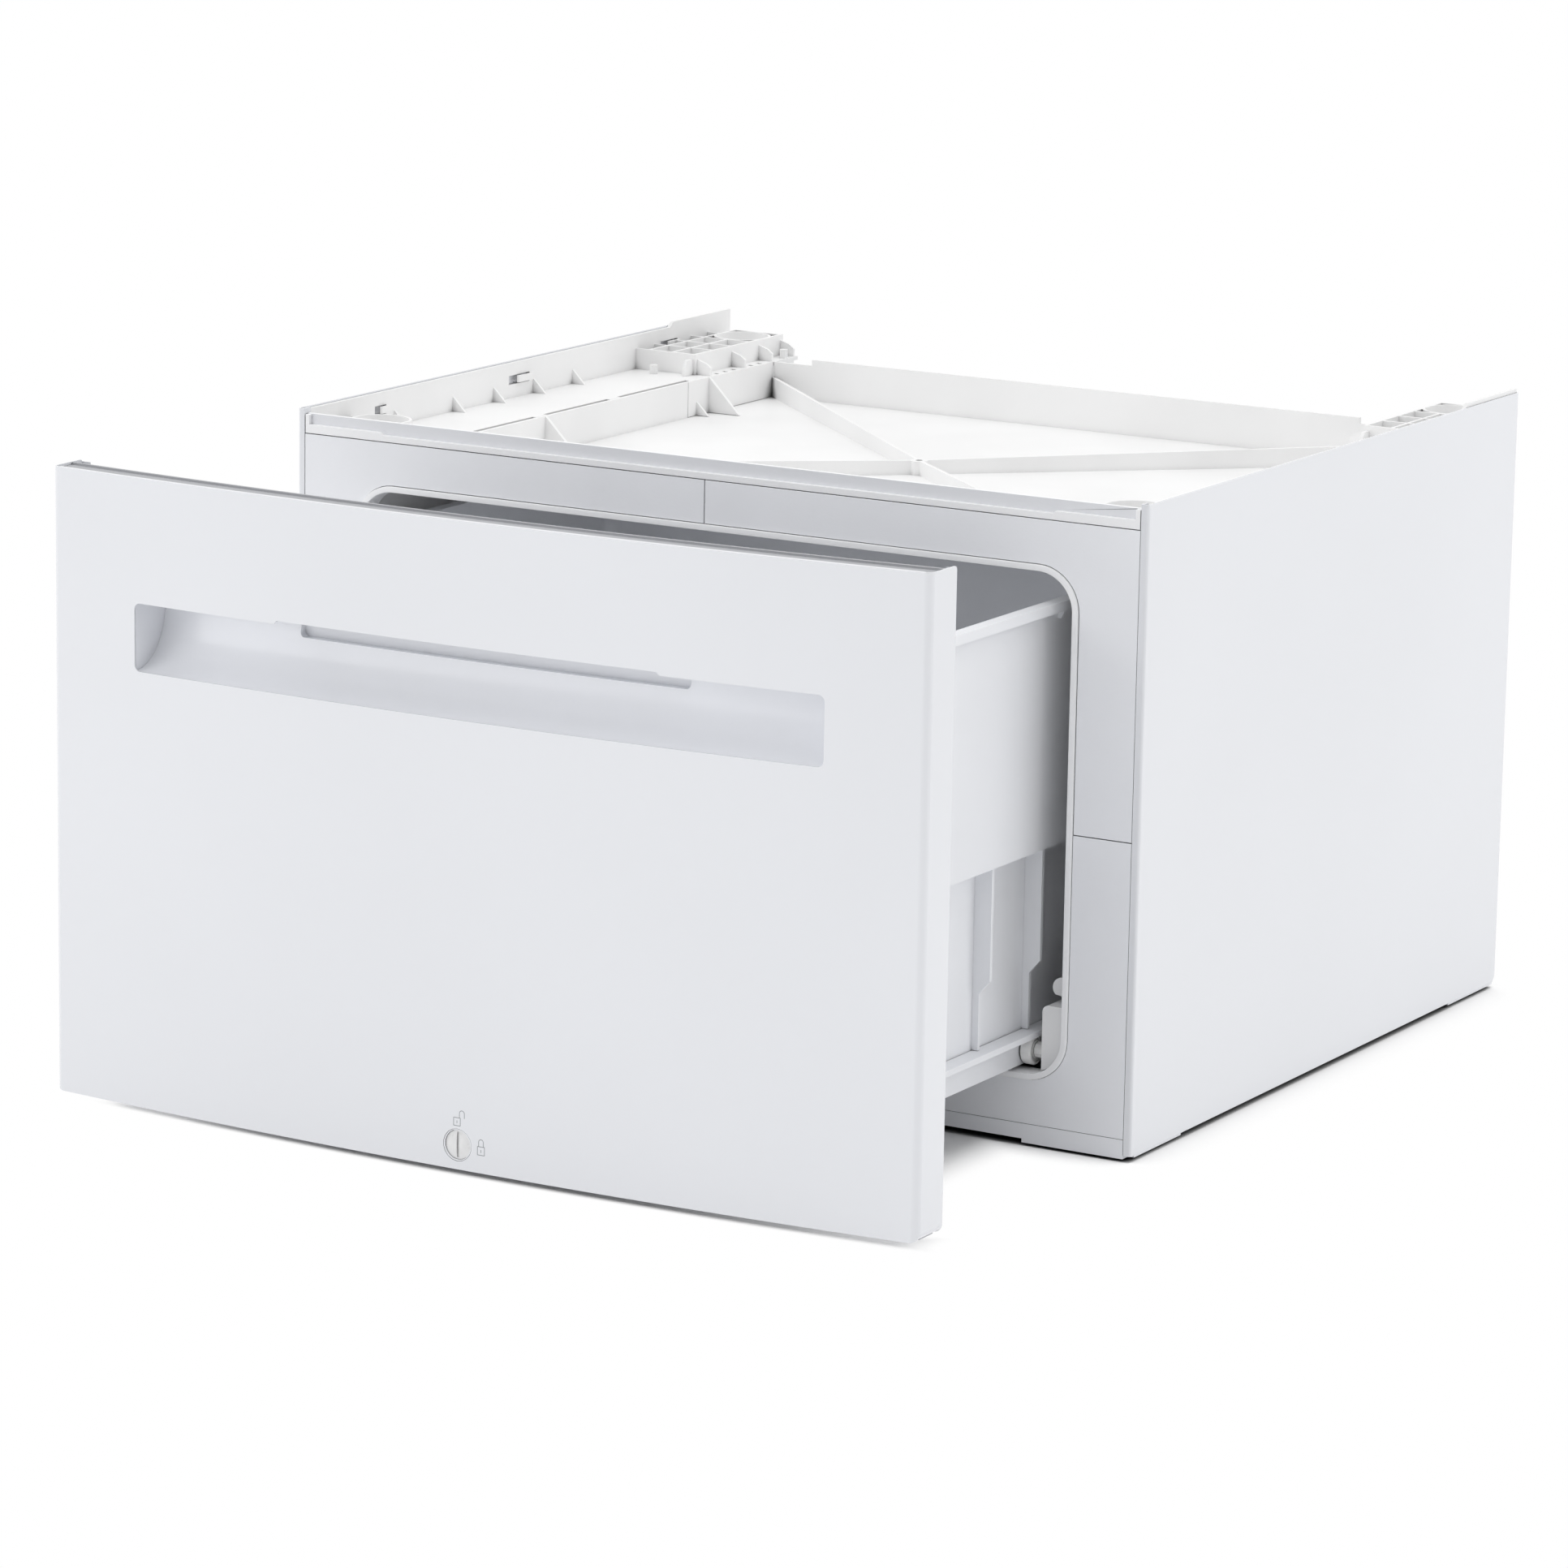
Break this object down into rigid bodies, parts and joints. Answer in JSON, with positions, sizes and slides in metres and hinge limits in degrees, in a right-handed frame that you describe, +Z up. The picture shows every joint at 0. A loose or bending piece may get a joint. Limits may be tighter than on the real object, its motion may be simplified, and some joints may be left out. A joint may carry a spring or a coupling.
{
  "type": "washer pedestal drawer",
  "caption": "Low cabinet that raises a front-loading washer, with a bowed pull-out storage drawer on rollers, a scooped handle and a quarter-turn lock.",
  "frame": {"origin": "centre of the bounding box's footprint, on the ground, with the drawer out as in the picture", "axes": "+X to the right seen from the front, +Y from front to rear, +Z up"},
  "size_m": [0.598, 0.7906, 0.3985],
  "materials": {
    "white_paint": "gloss",
    "grey_plastic": "fine grain",
    "white_plastic": "satin",
    "scoop_plastic": "gloss",
    "tub_plastic": "satin",
    "zinc_sheet": "zinc plated",
    "dark_rubber": "matt",
    "nylon": "satin"
  },
  "bodies": {
    "cabinet": {"side_panel_right": "white_paint", "side_panel_left": "white_paint", "rear_panel": "zinc_sheet", "rear_crossmember": "zinc_sheet", "base_frame": "grey_plastic", "side_module_right": "white_plastic", "side_module_left": "white_plastic", "center_deck": "white_plastic", "front_top_rail": "grey_plastic", "front_cover_upper_left": "grey_plastic", "front_cover_upper_right": "grey_plastic", "front_cover_lower": "grey_plastic", "opening_trim": "grey_plastic", "cabinet_rail_right": "zinc_sheet", "cabinet_rail_left": "zinc_sheet", "roller_bracket_right": "white_plastic", "roller_bracket_left": "white_plastic", "front_axle_right": "zinc_sheet", "front_axle_left": "zinc_sheet", "guide_nub_right": "white_plastic", "guide_nub_left": "white_plastic", "lock_strike": "zinc_sheet", "foot_pad_front_left": "dark_rubber", "foot_pad_front_right": "dark_rubber", "foot_pad_rear_left": "dark_rubber", "foot_pad_rear_right": "dark_rubber", "rear_screw_top_left": "zinc_sheet", "rear_screw_top_right": "zinc_sheet", "rear_screw_bottom_left": "zinc_sheet", "rear_screw_bottom_right": "zinc_sheet"},
    "drawer": {"drawer_front_skin": "white_paint", "drawer_front_liner": "grey_plastic", "handle_scoop": "scoop_plastic", "drawer_tub": "tub_plastic", "runner_right": "tub_plastic", "runner_left": "tub_plastic", "rear_axle_right": "zinc_sheet", "rear_axle_left": "zinc_sheet", "lock_bush": "grey_plastic", "front_screw_lower_left": "zinc_sheet", "front_screw_lower_right": "zinc_sheet", "front_screw_upper_left": "zinc_sheet", "front_screw_upper_right": "zinc_sheet"},
    "lock": {"lock_knob": "white_plastic", "lock_shaft": "zinc_sheet", "lock_clip": "zinc_sheet"},
    "front_roller_right": {"front_roller_right": "nylon"},
    "front_roller_left": {"front_roller_left": "nylon"},
    "rear_roller_right": {"rear_roller_right": "nylon"},
    "rear_roller_left": {"rear_roller_left": "nylon"}
  },
  "joints": [
    {"name": "drawer_slide", "type": "slide", "parent": "cabinet", "child": "drawer", "axis": [0, -1, 0], "range_m": [-0.2274, 0.12]},
    {"name": "lock_turn", "type": "hinge", "parent": "drawer", "child": "lock", "pos_m": [0, -0.39212, 0.0276], "axis": [0, 1, 0], "range_deg": [0, 90]},
    {"name": "front_roller_right_spin", "type": "hinge", "parent": "cabinet", "child": "front_roller_right", "pos_m": [0.2244, -0.11172, 0.057], "axis": [1, 0, 0], "continuous": true},
    {"name": "front_roller_left_spin", "type": "hinge", "parent": "cabinet", "child": "front_roller_left", "pos_m": [-0.2244, -0.11172, 0.057], "axis": [1, 0, 0], "continuous": true},
    {"name": "rear_roller_right_spin", "type": "hinge", "parent": "drawer", "child": "rear_roller_right", "pos_m": [0.2425, 0.11788, 0.0594], "axis": [1, 0, 0], "continuous": true},
    {"name": "rear_roller_left_spin", "type": "hinge", "parent": "drawer", "child": "rear_roller_left", "pos_m": [-0.2425, 0.11788, 0.0594], "axis": [1, 0, 0], "continuous": true}
  ],
  "couplings": [
    {"joint": "front_roller_right_spin", "follows": "drawer_slide", "rad_per_m": 104.17},
    {"joint": "front_roller_left_spin", "follows": "drawer_slide", "rad_per_m": 104.17},
    {"joint": "rear_roller_right_spin", "follows": "drawer_slide", "rad_per_m": 104.17},
    {"joint": "rear_roller_left_spin", "follows": "drawer_slide", "rad_per_m": 104.17}
  ]
}
